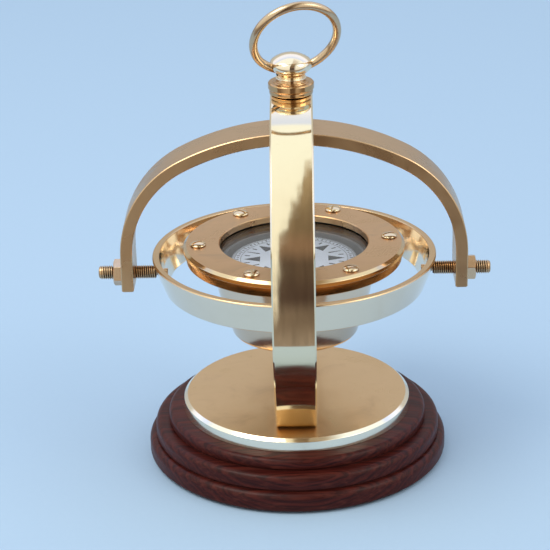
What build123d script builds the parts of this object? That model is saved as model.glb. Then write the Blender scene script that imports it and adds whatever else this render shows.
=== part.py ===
"""Gimballed table compass on a turned wooden base.

Millimetres, +Z up, origin at the centre of the felt pad's underside.
The carrying loop stands in the YZ plane and the suspension arch in the XZ plane.
"""
from build123d import *
from math import asin, cos, degrees, radians, sin, sqrt
import os

# ---- driving dimensions -------------------------------------------------

# turned wooden base, three steps, each rounded at the top with a fine groove below
base_radius = 89.0
middle_step_radius = 85.0
top_step_radius = 77.0
wood_bottom_z = 0.8
bottom_step_z = 12.3
middle_step_z = 21.6
top_step_edge_z = 28.1
wood_top_z = 28.9
bottom_edge_round = 2.6
bottom_step_round = 3.6
middle_step_round = 3.2
top_step_round = 2.8
step_groove_depth = 0.9
step_groove_height = 0.8
felt_radius = 80.0
felt_thickness = 2.3
felt_recess_clearance = 0.3

# brass base plate
plate_radius = 68.05
plate_thickness = 7.6
plate_bevel_width = 2.7
plate_bevel_drop = 1.7
plate_top_z = wood_top_z + plate_thickness

# carrying loop: one flat bar bent into a closed loop with a flat foot
loop_bar_width = 24.0
loop_bar_thickness = 5.0
loop_apex_z = 222.4
loop_radius = 99.0
loop_shoulder_radius = 22.0
loop_shoulder_start = 11.0
loop_leg_lean = 34.0
loop_foot_bend = 10.5
bar_edge_chamfer = 0.9

# suspension arch: one flat bar, a wide top arc, two shoulders and two straight legs
arch_bar_width = 29.0
arch_bar_thickness = 7.0
arch_half_span = 100.6
arch_apex_z = 202.5
arch_spring_z = 128.8
arch_shoulder_radius = 61.7
arch_leg_end_z = 107.2
arch_edge_chamfer = 0.5

# threaded fasteners
thread_radius = 4.0
hole_clearance = 0.1
nut_across_flats = 13.8
nut_height = 5.5
nut_corner_angle = 30.0
nut_corner_bevel = 0.9
pivot_nut_turn = 42.0
stem_nut_height = 5.0
washer_radius = 8.6
washer_thickness = 1.2

# foot fasteners
base_bolt_head_radius = 10.0
base_bolt_head_top_z = 6.0
base_bolt_end_z = 48.2
base_nut_height = 4.4
foot_screw_spacing = 50.0
foot_screw_head_radius = 4.5
foot_screw_shank_radius = 2.2
foot_screw_head_depth = 2.3
foot_screw_end_z = 17.0
screw_slot_width = 1.1
screw_slot_depth = 1.0

# gimbal ring and its pivots
pivot_z = 114.2
gimbal_top_radius = 83.4
gimbal_bottom_radius = 76.2
gimbal_lip_width = 4.4
gimbal_bottom_wall = 3.0
gimbal_bottom_z = 107.0
gimbal_top_z = 126.0
gimbal_edge_round = 0.9
pin_radius = 2.0
pin_clearance = 0.05
pin_end = 74.2
stud_shoulder = 81.1
stud_outer_end = 114.9
stud_end_round = 1.6
bowl_pivot_plug_radius = 3.0
bowl_pivot_plug_start = 75.2
bowl_pivot_plug_end = 78.4
bowl_pivot_pin_end = 58.0

# compass bowl
bowl_body_radius = 45.5
bowl_bore_radius = 42.2
bowl_taper_start_z = 105.0
bowl_bottom_z = 76.5
bowl_bottom_radius = 36.8
bowl_taper_round = 30.0
bowl_bottom_round = 3.2
bowl_floor_z = 99.0
bowl_floor_thickness = 3.0
bowl_cap_radius = 31.0
bowl_cap_thickness = 3.0
bowl_flange_radius = 63.0
bowl_flange_bottom_z = 122.4
bowl_flange_top_z = 128.2
pivot_boss_radius = 5.0
pivot_boss_end = 62.0
pivot_socket_end = 57.5
close_fit = 0.1

# bezel, glass and seals
bezel_radius = 64.6
bezel_opening_radius = 43.4
bezel_top_z = 132.2
bezel_bevel_width = 1.8
bezel_bevel_drop = 1.5
bezel_inner_chamfer = 0.5
glass_radius = 49.8
glass_thickness = 2.4
gasket_thickness = 0.5
bezel_screw_count = 6
bezel_screw_circle = 56.0
bezel_screw_first_angle = 5.0
bezel_screw_head_radius = 4.65
bezel_screw_head_height = 2.3
bezel_screw_shank_radius = 1.9
bezel_screw_end_z = 123.8

# compass card on its pivot
card_radius = 36.8
card_thickness = 0.6
card_top_z = 119.8
card_hole_radius = 3.1
cap_tube_radius = 3.0
cap_flange_radius = 4.6
cap_flange_height = 0.8
cap_top_z = 122.6
cap_bottom_z = 117.0
cap_cavity_radius = 1.6
cap_cavity_top_z = 121.0
magnet_length = 44.0
magnet_width = 4.0
magnet_height = 3.0
magnet_spacing = 20.0
post_radius = 3.2
post_spigot_radius = 2.0
post_top_z = 113.0
pin_shaft_radius = 0.9
pin_cone_z = 117.6
pin_tip_z = 120.9
pin_tip_radius = 0.15
pin_seat_depth = 6.0
liner_radius = 42.1
liner_wall = 1.4
liner_top_z = 121.4

# ballast
ballast_radius = 30.8
ballast_thickness = 7.0

# stem, finial and carrying ring
sleeve_radius = 8.0
seat_gap = 0.03
stem_bolt_top_z = 231.0
stem_bolt_end_margin = 1.6
finial_washer_radius = 12.5
finial_washer_top_z = 224.9
collar_radius = 13.1
collar_top_z = 229.2
collar_step_radii = (10.2, 9.0)
collar_step_height = 0.5
neck_radius = 7.6
neck_bead_radius = 8.7
neck_bead_z = 231.0
neck_bead_height = 1.0
ball_radius = 12.1
ball_half_height = 6.8
ball_edge_radius = 4.2
ball_z = 239.0
ring_hole_z = 237.0
ring_hole_radius = 4.25
ring_mean_radius = 23.9
ring_wire_radius = 2.4
ring_seat_offset = 1.5
ring_yaw = 15.8
ring_lean = 27.8

os.makedirs("parts", exist_ok=True)


def finish(piece, name):
    """Label a finished piece and write its STEP file."""
    piece.label = name
    export_step(piece, f"parts/{name}.step")


def nearest(shapes, x, y):
    """The vertex of a flat profile closest to a point."""
    return shapes.sort_by_distance((x, y))[0]


def basket_crown(half_span, rise, shoulder_radius):
    """Radius and half angle of the crown that meets two shoulder arcs smoothly."""
    inset = half_span - shoulder_radius
    radius = (inset**2 + rise**2 - shoulder_radius**2) / (2 * (rise - shoulder_radius))
    return radius, degrees(asin(inset / (radius - shoulder_radius)))


def seat_drop(curve_radius, seat_radius):
    """How far a curved bar falls away between a flat seat's centre and its edge."""
    return curve_radius - sqrt(curve_radius**2 - seat_radius**2)


# ---- wooden base and felt -----------------------------------------------

with BuildPart() as wood_base:
    with BuildSketch(Plane.XZ) as wood_profile:
        with BuildLine():
            Polyline(
                (0, wood_bottom_z),
                (base_radius, wood_bottom_z),
                (base_radius, bottom_step_z),
                (middle_step_radius - step_groove_depth, bottom_step_z),
                (middle_step_radius - step_groove_depth, bottom_step_z + step_groove_height),
                (middle_step_radius, bottom_step_z + step_groove_height),
                (middle_step_radius, middle_step_z),
                (top_step_radius - step_groove_depth, middle_step_z),
                (top_step_radius - step_groove_depth, middle_step_z + step_groove_height),
                (top_step_radius, middle_step_z + step_groove_height),
                (top_step_radius, top_step_edge_z),
                (plate_radius, wood_top_z),
                (0, wood_top_z),
                close=True,
            )
        make_face()
        fillet(nearest(wood_profile.vertices(), base_radius, wood_bottom_z), radius=bottom_edge_round)
        fillet(nearest(wood_profile.vertices(), base_radius, bottom_step_z), radius=bottom_step_round)
        fillet(nearest(wood_profile.vertices(), middle_step_radius, middle_step_z), radius=middle_step_round)
        fillet(nearest(wood_profile.vertices(), top_step_radius, top_step_edge_z), radius=top_step_round)
    revolve(axis=Axis.Z)
    with BuildSketch(Plane.XY.offset(wood_bottom_z)):
        Circle(felt_radius + felt_recess_clearance)
    extrude(amount=felt_thickness - wood_bottom_z, mode=Mode.SUBTRACT)
    with BuildSketch(Plane.XY.offset(felt_thickness)):
        Circle(base_bolt_head_radius + felt_recess_clearance)
    extrude(amount=base_bolt_head_top_z - felt_thickness, mode=Mode.SUBTRACT)
    with BuildSketch(Plane.XY):
        Circle(thread_radius + hole_clearance)
    extrude(amount=wood_top_z, mode=Mode.SUBTRACT)
    with BuildSketch(Plane.XY.offset(foot_screw_end_z)):
        with GridLocations(0, foot_screw_spacing, 1, 2):
            Circle(foot_screw_shank_radius + hole_clearance)
    extrude(amount=wood_top_z - foot_screw_end_z, mode=Mode.SUBTRACT)
finish(wood_base.part, "wood_base")

with BuildPart() as felt_pad:
    with BuildSketch(Plane.XY):
        Circle(felt_radius)
    extrude(amount=felt_thickness)
finish(felt_pad.part, "felt_pad")

# ---- brass base plate ---------------------------------------------------

with BuildPart() as base_plate:
    with BuildSketch(Plane.XY.offset(wood_top_z)):
        Circle(plate_radius)
        Circle(thread_radius + hole_clearance, mode=Mode.SUBTRACT)
        with GridLocations(0, foot_screw_spacing, 1, 2):
            Circle(foot_screw_shank_radius + hole_clearance, mode=Mode.SUBTRACT)
    extrude(amount=plate_thickness)
    plate_rim = base_plate.edges().filter_by(GeomType.CIRCLE).group_by(Axis.Z)[-1].sort_by(SortBy.RADIUS)[-1]
    chamfer(plate_rim, length=plate_bevel_drop, length2=plate_bevel_width)
finish(base_plate.part, "base_plate")

# ---- carrying loop ------------------------------------------------------

leg_normal = radians(loop_leg_lean)
shoulder_normal = radians(loop_shoulder_start)
shoulder_turn = loop_leg_lean - loop_shoulder_start
shoulder_start_z = loop_apex_z - loop_radius - loop_radius * sin(shoulder_normal)
leg_top_z = shoulder_start_z - loop_shoulder_radius * (sin(leg_normal) - sin(shoulder_normal))
bend_height = loop_foot_bend * (1 - sin(leg_normal))
leg_length = (leg_top_z - plate_top_z - bend_height) / cos(leg_normal)
foot_top_z = plate_top_z + loop_bar_thickness

with BuildPart() as frame_loop:
    with BuildSketch(Plane.YZ.offset(-loop_bar_width / 2)):
        with BuildLine():
            crown = JernArc((0, loop_apex_z), (1, 0), loop_radius, -90 - loop_shoulder_start)
            shoulder = JernArc(crown @ 1, crown % 1, loop_shoulder_radius, -shoulder_turn)
            leg = Line(shoulder @ 1, shoulder @ 1 + (shoulder % 1) * leg_length)
            bend = JernArc(leg @ 1, leg % 1, loop_foot_bend, loop_leg_lean - 90)
            Line(bend @ 1, (0, plate_top_z))
            mirror(about=Plane.YZ)
        make_face()
        offset(amount=-loop_bar_thickness, mode=Mode.SUBTRACT)
    extrude(amount=loop_bar_width)
    loop_rims = frame_loop.edges().group_by(Axis.X)
    chamfer(loop_rims[0] + loop_rims[-1], length=bar_edge_chamfer)
    with BuildSketch(Plane.XY.offset(plate_top_z)):
        Circle(thread_radius + hole_clearance)
    extrude(amount=loop_apex_z - plate_top_z, mode=Mode.SUBTRACT)
    with BuildSketch(Plane.XY.offset(plate_top_z)):
        with GridLocations(0, foot_screw_spacing, 1, 2):
            Circle(foot_screw_shank_radius + hole_clearance)
    extrude(amount=loop_bar_thickness, mode=Mode.SUBTRACT)
    with Locations(
        Location((0, foot_screw_spacing / 2, foot_top_z - foot_screw_head_depth / 2)),
        Location((0, -foot_screw_spacing / 2, foot_top_z - foot_screw_head_depth / 2)),
    ):
        Cone(
            foot_screw_shank_radius + hole_clearance,
            foot_screw_head_radius + hole_clearance,
            foot_screw_head_depth,
            mode=Mode.SUBTRACT,
        )
finish(frame_loop.part, "frame_loop")

# ---- suspension arch ----------------------------------------------------

arch_centre_span = arch_half_span - arch_bar_thickness / 2
arch_centre_top_z = arch_apex_z - arch_bar_thickness / 2
arch_rise = arch_centre_top_z - arch_spring_z
arch_crown_radius, arch_crown_angle = basket_crown(arch_centre_span, arch_rise, arch_shoulder_radius)

with BuildPart() as suspension_arch:
    with BuildSketch(Plane.XZ):
        with BuildLine():
            arch_crown = JernArc((0, arch_centre_top_z), (1, 0), arch_crown_radius, -arch_crown_angle)
            arch_turn = JernArc(arch_crown @ 1, arch_crown % 1, arch_shoulder_radius, arch_crown_angle - 90)
            Line(arch_turn @ 1, (arch_centre_span, arch_leg_end_z))
            mirror(about=Plane.YZ)
        trace(line_width=arch_bar_thickness)
    extrude(amount=arch_bar_width / 2, both=True)
    arch_rims = suspension_arch.edges().group_by(Axis.Y)
    chamfer(arch_rims[0] + arch_rims[-1], length=arch_edge_chamfer)
    with BuildSketch(Plane.XY.offset(arch_centre_top_z - arch_bar_thickness)):
        Circle(thread_radius + hole_clearance)
    extrude(amount=2 * arch_bar_thickness, mode=Mode.SUBTRACT)
    with BuildSketch(Plane.YZ):
        with Locations((0, pivot_z)):
            Circle(thread_radius + hole_clearance)
    extrude(amount=arch_half_span, both=True, mode=Mode.SUBTRACT)
finish(suspension_arch.part, "suspension_arch")

# ---- nuts, washers and bolts --------------------------------------------


def hex_nut(seats, height, rotation):
    """Hexagon nuts standing on the given planes, corners bevelled on both faces."""
    corner_radius = nut_across_flats / 2 / cos(radians(nut_corner_angle))
    with BuildPart() as blank:
        for seat in seats:
            with BuildSketch(seat):
                Circle(corner_radius)
            extrude(amount=height)
        chamfer(blank.edges().filter_by(GeomType.CIRCLE), length=nut_corner_bevel / 2, length2=nut_corner_bevel)
    with BuildPart() as nut:
        for seat in seats:
            with BuildSketch(seat):
                RegularPolygon(corner_radius, 6, rotation=rotation)
            extrude(amount=height)
        add(blank.part, mode=Mode.INTERSECT)
        for seat in seats:
            with BuildSketch(seat):
                Circle(thread_radius + hole_clearance)
            extrude(amount=height, mode=Mode.SUBTRACT)
    return nut.part


def washer(bottom_z, outer_radius, thickness):
    """A flat washer on the centre line."""
    with BuildPart() as disc:
        with BuildSketch(Plane.XY.offset(bottom_z)):
            Circle(outer_radius)
            Circle(thread_radius + hole_clearance, mode=Mode.SUBTRACT)
        extrude(amount=thickness)
        chamfer(disc.edges().filter_by(GeomType.CIRCLE).sort_by(SortBy.RADIUS)[-2:], length=thickness / 5)
    return disc.part


arch_seat_drop = seat_drop(arch_crown_radius - arch_bar_thickness / 2, washer_radius)
stem_washer_z = arch_apex_z - arch_bar_thickness - arch_seat_drop - washer_thickness
stem_nut_z = stem_washer_z - stem_nut_height

finish(washer(foot_top_z, washer_radius, washer_thickness), "base_washer")
finish(hex_nut([Plane.XY.offset(foot_top_z + washer_thickness)], base_nut_height, 0), "base_nut")
finish(washer(stem_washer_z, washer_radius, washer_thickness), "stem_washer")
finish(hex_nut([Plane.XY.offset(stem_nut_z)], stem_nut_height, 0), "stem_nut")
leg_seats = [
    Plane(origin=(arch_half_span, 0, pivot_z), x_dir=(0, 1, 0), z_dir=(1, 0, 0)),
    Plane(origin=(-arch_half_span, 0, pivot_z), x_dir=(0, 1, 0), z_dir=(-1, 0, 0)),
]
finish(hex_nut(leg_seats, nut_height, pivot_nut_turn), "pivot_nuts")

with BuildPart() as base_bolt:
    with BuildSketch(Plane.XY.offset(felt_thickness)):
        Circle(base_bolt_head_radius)
    extrude(amount=base_bolt_head_top_z - felt_thickness)
    with BuildSketch(Plane.XY.offset(felt_thickness)):
        Circle(thread_radius)
    extrude(amount=base_bolt_end_z - felt_thickness)
    chamfer(base_bolt.edges().group_by(Axis.Z)[-1], length=thread_radius / 6)
finish(base_bolt.part, "base_bolt")

with BuildPart() as stem_bolt:
    with BuildSketch(Plane.XY.offset(stem_nut_z - stem_bolt_end_margin)):
        Circle(thread_radius)
    extrude(amount=stem_bolt_top_z - stem_nut_z + stem_bolt_end_margin)
    chamfer(stem_bolt.edges().filter_by(GeomType.CIRCLE), length=thread_radius / 6)
finish(stem_bolt.part, "stem_bolt")

with BuildPart() as loop_screws:
    for side in (-1, 1):
        with BuildSketch(Plane.XZ.offset(-side * foot_screw_spacing / 2)) as screw_profile:
            with BuildLine():
                Polyline(
                    (0, foot_screw_end_z),
                    (foot_screw_shank_radius, foot_screw_end_z + foot_screw_shank_radius),
                    (foot_screw_shank_radius, foot_top_z - foot_screw_head_depth),
                    (foot_screw_head_radius, foot_top_z),
                    (0, foot_top_z),
                    close=True,
                )
            make_face()
        revolve(axis=Axis((0, side * foot_screw_spacing / 2, 0), (0, 0, 1)))
    with BuildSketch(Plane.XY.offset(foot_top_z)):
        with GridLocations(0, foot_screw_spacing, 1, 2):
            Rectangle(2 * foot_screw_head_radius, screw_slot_width)
    extrude(amount=-screw_slot_depth, mode=Mode.SUBTRACT)
finish(loop_screws.part, "loop_screws")

# ---- stem sleeve and finial ---------------------------------------------

sleeve_seat_drop = seat_drop(loop_radius - loop_bar_thickness, sleeve_radius) + seat_gap
sleeve_top_z = loop_apex_z - loop_bar_thickness - sleeve_seat_drop

with BuildPart() as spacer_sleeve:
    with BuildSketch(Plane.XY.offset(arch_apex_z)):
        Circle(sleeve_radius)
        Circle(thread_radius + hole_clearance, mode=Mode.SUBTRACT)
    extrude(amount=sleeve_top_z - arch_apex_z)
finish(spacer_sleeve.part, "spacer_sleeve")

finish(washer(loop_apex_z, finial_washer_radius, finial_washer_top_z - loop_apex_z), "finial_washer")

with BuildPart() as finial_collar:
    with BuildSketch(Plane.XY.offset(finial_washer_top_z)):
        Circle(collar_radius)
    extrude(amount=collar_top_z - finial_washer_top_z)
    chamfer(finial_collar.edges().filter_by(GeomType.CIRCLE), length=collar_step_height)
    for step, step_radius in enumerate(collar_step_radii):
        with BuildSketch(Plane.XY.offset(collar_top_z + step * collar_step_height)):
            Circle(step_radius)
        extrude(amount=collar_step_height)
    with BuildSketch(Plane.XY.offset(finial_washer_top_z)):
        Circle(thread_radius + hole_clearance)
    extrude(amount=ball_z - finial_washer_top_z, mode=Mode.SUBTRACT)
finish(finial_collar.part, "finial_collar")

collar_steps_top_z = collar_top_z + len(collar_step_radii) * collar_step_height
ring_axis = Vector(cos(radians(ring_yaw)), sin(radians(ring_yaw)), 0)

ball_crown_radius, ball_crown_angle = basket_crown(ball_radius, ball_half_height, ball_edge_radius)

with BuildPart() as finial_ball:
    with BuildSketch(Plane.XZ):
        with BuildLine():
            ball_crown = JernArc((0, ball_z + ball_half_height), (1, 0), ball_crown_radius, -ball_crown_angle)
            ball_edge = JernArc(ball_crown @ 1, ball_crown % 1, ball_edge_radius, 2 * ball_crown_angle - 180)
            ball_base = JernArc(ball_edge @ 1, ball_edge % 1, ball_crown_radius, -ball_crown_angle)
            Line(ball_base @ 1, ball_crown @ 0)
        make_face()
        with Locations((neck_radius / 2, (collar_steps_top_z + ball_z) / 2)):
            Rectangle(neck_radius, ball_z - collar_steps_top_z)
        with Locations((neck_bead_radius / 2, neck_bead_z + neck_bead_height / 2)):
            Rectangle(neck_bead_radius, neck_bead_height)
    revolve(axis=Axis.Z)
    with BuildSketch(Plane.XY.offset(collar_steps_top_z)):
        Circle(thread_radius + hole_clearance)
    extrude(amount=stem_bolt_top_z + hole_clearance - collar_steps_top_z, mode=Mode.SUBTRACT)
    with BuildSketch(Plane(origin=(0, 0, ring_hole_z), z_dir=ring_axis)):
        Circle(ring_hole_radius)
    extrude(amount=2 * ball_radius, both=True, mode=Mode.SUBTRACT)
finish(finial_ball.part, "finial_ball")

ring_tilt = radians(ring_lean)
ring_up = Vector(
    sin(ring_tilt) * sin(radians(ring_yaw)),
    -sin(ring_tilt) * cos(radians(ring_yaw)),
    cos(ring_tilt),
)
ring_centre = Vector(0, 0, ring_hole_z) + ring_up * (ring_mean_radius - ring_seat_offset)

with BuildPart(Plane(origin=ring_centre, x_dir=ring_axis, z_dir=ring_axis.cross(ring_up))) as wire_ring:
    Torus(ring_mean_radius, ring_wire_radius)
finish(wire_ring.part, "wire_ring")

# ---- gimbal ring and its pivots -----------------------------------------

with BuildPart() as gimbal_ring:
    with BuildSketch(Plane.XZ) as gimbal_profile:
        with BuildLine():
            Polyline(
                (gimbal_bottom_radius - gimbal_bottom_wall, gimbal_bottom_z),
                (gimbal_bottom_radius, gimbal_bottom_z),
                (gimbal_top_radius, gimbal_top_z),
                (gimbal_top_radius - gimbal_lip_width, gimbal_top_z),
                close=True,
            )
        make_face()
        fillet(gimbal_profile.vertices(), radius=gimbal_edge_round)
    revolve(axis=Axis.Z)
    with BuildSketch(Plane.YZ):
        with Locations((0, pivot_z)):
            Circle(pin_radius + pin_clearance)
    extrude(amount=gimbal_top_radius, both=True, mode=Mode.SUBTRACT)
    with BuildSketch(Plane.XZ):
        with Locations((0, pivot_z)):
            Circle(bowl_pivot_plug_radius + hole_clearance)
    extrude(amount=gimbal_top_radius, both=True, mode=Mode.SUBTRACT)
finish(gimbal_ring.part, "gimbal_ring")


def pivot_stud(side):
    """Threaded stud through an arch leg, its turned-down pin carrying the gimbal ring."""
    with BuildPart() as stud:
        with BuildSketch(Plane.YZ.offset(side * stud_shoulder)):
            with Locations((0, pivot_z)):
                Circle(thread_radius)
        extrude(amount=side * (stud_outer_end - stud_shoulder))
        fillet(stud.edges().filter_by(GeomType.CIRCLE).sort_by(Axis.X)[-1 if side > 0 else 0], radius=stud_end_round)
        with BuildSketch(Plane.YZ.offset(side * pin_end)):
            with Locations((0, pivot_z)):
                Circle(pin_radius)
        extrude(amount=side * (stud_shoulder - pin_end))
        chamfer(stud.edges().filter_by(GeomType.CIRCLE).sort_by(Axis.X)[0 if side > 0 else -1], length=pin_radius / 4)
    return stud.part


finish(pivot_stud(-1), "left_pivot_stud")
finish(pivot_stud(1), "right_pivot_stud")


def bowl_pivot(side):
    """Slotted plug screwed into the gimbal ring, its pin carrying the bowl."""
    with BuildPart() as pivot:
        with BuildSketch(Plane.XZ.offset(-side * bowl_pivot_plug_start)):
            with Locations((0, pivot_z)):
                Circle(bowl_pivot_plug_radius)
        extrude(amount=-side * (bowl_pivot_plug_end - bowl_pivot_plug_start))
        with BuildSketch(Plane.XZ.offset(-side * bowl_pivot_pin_end)):
            with Locations((0, pivot_z)):
                Circle(pin_radius)
        extrude(amount=-side * (bowl_pivot_plug_start - bowl_pivot_pin_end))
        with BuildSketch(Plane.XZ.offset(-side * bowl_pivot_plug_end)):
            with Locations((0, pivot_z)):
                Rectangle(2 * bowl_pivot_plug_radius, screw_slot_width)
        extrude(amount=side * screw_slot_depth, mode=Mode.SUBTRACT)
    return pivot.part


finish(bowl_pivot(-1), "front_bowl_pivot")
finish(bowl_pivot(1), "rear_bowl_pivot")

# ---- compass bowl -------------------------------------------------------

glass_seat_z = bowl_flange_top_z - glass_thickness - 2 * gasket_thickness

with BuildPart() as compass_bowl:
    with BuildSketch(Plane.XZ) as bowl_profile:
        with BuildLine():
            Polyline(
                (bowl_body_radius, glass_seat_z),
                (bowl_body_radius, bowl_taper_start_z),
                (bowl_bottom_radius, bowl_bottom_z),
                (bowl_cap_radius + close_fit, bowl_bottom_z),
                (bowl_cap_radius + close_fit, bowl_floor_z - bowl_floor_thickness),
                (0, bowl_floor_z - bowl_floor_thickness),
                (0, bowl_floor_z),
                (bowl_bore_radius, bowl_floor_z),
                (bowl_bore_radius, glass_seat_z),
                close=True,
            )
        make_face()
        fillet(nearest(bowl_profile.vertices(), bowl_body_radius, bowl_taper_start_z), radius=bowl_taper_round)
        fillet(nearest(bowl_profile.vertices(), bowl_bottom_radius, bowl_bottom_z), radius=bowl_bottom_round)
    revolve(axis=Axis.Z)
    with BuildSketch(Plane.XY.offset(bowl_floor_z)):
        Circle(post_spigot_radius + close_fit)
    extrude(amount=-bowl_floor_thickness, mode=Mode.SUBTRACT)
finish(compass_bowl.part, "compass_bowl")

with BuildPart() as bowl_flange:
    with BuildSketch(Plane.XZ):
        with BuildLine():
            Polyline(
                (bowl_body_radius + pin_clearance, bowl_flange_bottom_z),
                (bowl_flange_radius, bowl_flange_bottom_z),
                (bowl_flange_radius, bowl_flange_top_z),
                (glass_radius + close_fit, bowl_flange_top_z),
                (glass_radius + close_fit, glass_seat_z),
                (bowl_body_radius + pin_clearance, glass_seat_z),
                close=True,
            )
        make_face()
    revolve(axis=Axis.Z)
    with BuildSketch(Plane.XY.offset(bezel_screw_end_z - close_fit)):
        with PolarLocations(bezel_screw_circle, bezel_screw_count, bezel_screw_first_angle):
            Circle(bezel_screw_shank_radius + close_fit)
    extrude(amount=bowl_flange_top_z - bezel_screw_end_z + close_fit, mode=Mode.SUBTRACT)
finish(bowl_flange.part, "bowl_flange")

with BuildPart() as pivot_bosses:
    with BuildSketch(Plane.XZ):
        with Locations((0, pivot_z)):
            Circle(pivot_boss_radius)
    extrude(amount=pivot_boss_end, both=True)
    with BuildSketch(Plane.XY.offset(bowl_bottom_z)):
        Circle(bowl_body_radius + pin_clearance)
    extrude(amount=bowl_flange_top_z - bowl_bottom_z, mode=Mode.SUBTRACT)
    for side in (-1, 1):
        with BuildSketch(Plane.XZ.offset(side * pivot_socket_end)):
            with Locations((0, pivot_z)):
                Circle(pin_radius + pin_clearance)
        extrude(amount=side * (pivot_boss_end - pivot_socket_end), mode=Mode.SUBTRACT)
finish(pivot_bosses.part, "pivot_bosses")

with BuildPart() as bowl_bottom_cap:
    with BuildSketch(Plane.XY.offset(bowl_bottom_z)):
        Circle(bowl_cap_radius)
    extrude(amount=bowl_cap_thickness)
    chamfer(bowl_bottom_cap.edges().group_by(Axis.Z)[0], length=bowl_cap_thickness / 4)
finish(bowl_bottom_cap.part, "bowl_bottom_cap")

with BuildPart() as ballast_weight:
    with BuildSketch(Plane.XY.offset(bowl_bottom_z + bowl_cap_thickness)):
        Circle(ballast_radius)
    extrude(amount=ballast_thickness)
finish(ballast_weight.part, "ballast_weight")

with BuildPart() as dial_liner:
    with BuildSketch(Plane.XY.offset(bowl_floor_z)):
        Circle(liner_radius)
        Circle(liner_radius - liner_wall, mode=Mode.SUBTRACT)
    extrude(amount=liner_top_z - bowl_floor_z)
finish(dial_liner.part, "dial_liner")


def gasket(bottom_z):
    """A flat seal ring for the cover glass."""
    with BuildPart() as seal:
        with BuildSketch(Plane.XY.offset(bottom_z)):
            Circle(glass_radius)
            Circle(bezel_opening_radius + gasket_thickness, mode=Mode.SUBTRACT)
        extrude(amount=gasket_thickness)
    return seal.part


finish(gasket(glass_seat_z), "lower_gasket")
finish(gasket(bowl_flange_top_z - gasket_thickness), "upper_gasket")

with BuildPart() as cover_glass:
    with BuildSketch(Plane.XY.offset(glass_seat_z + gasket_thickness)):
        Circle(glass_radius)
    extrude(amount=glass_thickness)
finish(cover_glass.part, "cover_glass")

with BuildPart() as bezel_ring:
    with BuildSketch(Plane.XY.offset(bowl_flange_top_z)):
        Circle(bezel_radius)
        Circle(bezel_opening_radius, mode=Mode.SUBTRACT)
    extrude(amount=bezel_top_z - bowl_flange_top_z)
    bezel_edges = bezel_ring.edges().filter_by(GeomType.CIRCLE).group_by(Axis.Z)[-1].sort_by(SortBy.RADIUS)
    chamfer(bezel_edges[-1], length=bezel_bevel_drop, length2=bezel_bevel_width)
    chamfer(bezel_edges[0], length=bezel_inner_chamfer)
    with BuildSketch(Plane.XY.offset(bowl_flange_top_z)):
        with PolarLocations(bezel_screw_circle, bezel_screw_count, bezel_screw_first_angle):
            Circle(bezel_screw_shank_radius + close_fit)
    extrude(amount=bezel_top_z - bowl_flange_top_z, mode=Mode.SUBTRACT)
finish(bezel_ring.part, "bezel_ring")

slot_angles = (20, 75, 140, 35, 100, 165)

with BuildPart() as bezel_screws:
    with BuildSketch(Plane.XY.offset(bezel_screw_end_z)):
        with PolarLocations(bezel_screw_circle, bezel_screw_count, bezel_screw_first_angle):
            Circle(bezel_screw_shank_radius)
    extrude(amount=bezel_top_z - bezel_screw_end_z)
    with BuildSketch(Plane.XY.offset(bezel_top_z)):
        with PolarLocations(bezel_screw_circle, bezel_screw_count, bezel_screw_first_angle):
            Circle(bezel_screw_head_radius)
    extrude(amount=bezel_screw_head_height)
    fillet(bezel_screws.edges().group_by(Axis.Z)[-1], radius=bezel_screw_head_height * 0.75)
    for index, slot_angle in enumerate(slot_angles):
        screw_angle = radians(bezel_screw_first_angle + index * 360 / bezel_screw_count)
        with BuildSketch(Plane.XY.offset(bezel_top_z + bezel_screw_head_height)):
            with Locations((bezel_screw_circle * cos(screw_angle), bezel_screw_circle * sin(screw_angle))):
                Rectangle(3 * bezel_screw_head_radius, screw_slot_width, rotation=slot_angle)
        extrude(amount=-screw_slot_depth, mode=Mode.SUBTRACT)
finish(bezel_screws.part, "bezel_screws")

# ---- card and pivot -----------------------------------------------------

with BuildPart() as pivot_post:
    with BuildSketch(Plane.XY.offset(bowl_floor_z)):
        Circle(post_radius)
    extrude(amount=post_top_z - bowl_floor_z)
    chamfer(pivot_post.edges().group_by(Axis.Z)[-1], length=post_radius / 3)
    with BuildSketch(Plane.XY.offset(bowl_floor_z)):
        Circle(post_spigot_radius)
    extrude(amount=-bowl_floor_thickness)
    with BuildSketch(Plane.XY.offset(post_top_z)):
        Circle(pin_shaft_radius + close_fit)
    extrude(amount=-pin_seat_depth, mode=Mode.SUBTRACT)
finish(pivot_post.part, "pivot_post")

with BuildPart() as pivot_pin:
    with BuildSketch(Plane.XZ):
        with BuildLine():
            Polyline(
                (0, post_top_z - pin_seat_depth),
                (pin_shaft_radius, post_top_z - pin_seat_depth),
                (pin_shaft_radius, pin_cone_z),
                (pin_tip_radius, pin_tip_z),
                (0, pin_tip_z),
                close=True,
            )
        make_face()
    revolve(axis=Axis.Z)
finish(pivot_pin.part, "pivot_pin")

card_bottom_z = card_top_z - card_thickness

with BuildPart() as compass_card:
    with BuildSketch(Plane.XY.offset(card_bottom_z)):
        Circle(card_radius)
        Circle(card_hole_radius, mode=Mode.SUBTRACT)
    extrude(amount=card_thickness)
finish(compass_card.part, "compass_card")

with BuildPart() as card_cap:
    with BuildSketch(Plane.XY.offset(cap_bottom_z)):
        Circle(cap_tube_radius)
    extrude(amount=cap_top_z - cap_bottom_z)
    fillet(card_cap.edges().group_by(Axis.Z)[-1], radius=cap_tube_radius / 2)
    with BuildSketch(Plane.XY.offset(card_top_z)):
        Circle(cap_flange_radius)
    extrude(amount=cap_flange_height)
    with BuildSketch(Plane.XY.offset(cap_bottom_z)):
        Circle(cap_cavity_radius)
    extrude(amount=cap_cavity_top_z - cap_bottom_z, mode=Mode.SUBTRACT)
finish(card_cap.part, "card_cap")

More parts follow.
